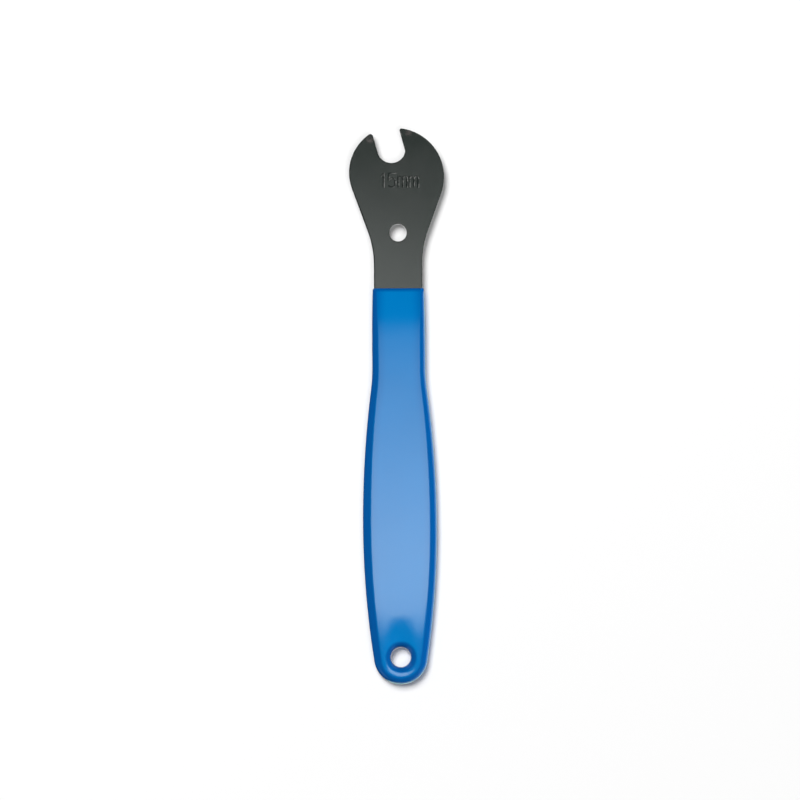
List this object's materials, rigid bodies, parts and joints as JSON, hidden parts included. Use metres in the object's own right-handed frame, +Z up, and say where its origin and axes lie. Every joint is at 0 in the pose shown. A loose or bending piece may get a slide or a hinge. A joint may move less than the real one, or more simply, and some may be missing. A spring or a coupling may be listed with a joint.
{
  "type": "pedal wrench",
  "caption": "Flat wrench with one open jaw tilted to the side, a hole through its head and a dipped, paddle-shaped grip with a hang hole.",
  "frame": {"origin": "centre of the jaw, where the axis of a nut held in it passes, on the mid-plane of the steel plate", "axes": "+Y along the wrench from the handle to the head, +X to the side of the longer jaw tip, +Z up, square to the plate"},
  "size_m": [0.052, 0.3047, 0.0074],
  "materials": {
    "blackened_steel": "black oxide, satin",
    "blue_vinyl": "glossy dipped vinyl"
  },
  "bodies": {
    "root": {"steel_blade": "blackened_steel", "vinyl_grip": "blue_vinyl"}
  },
  "joints": []
}
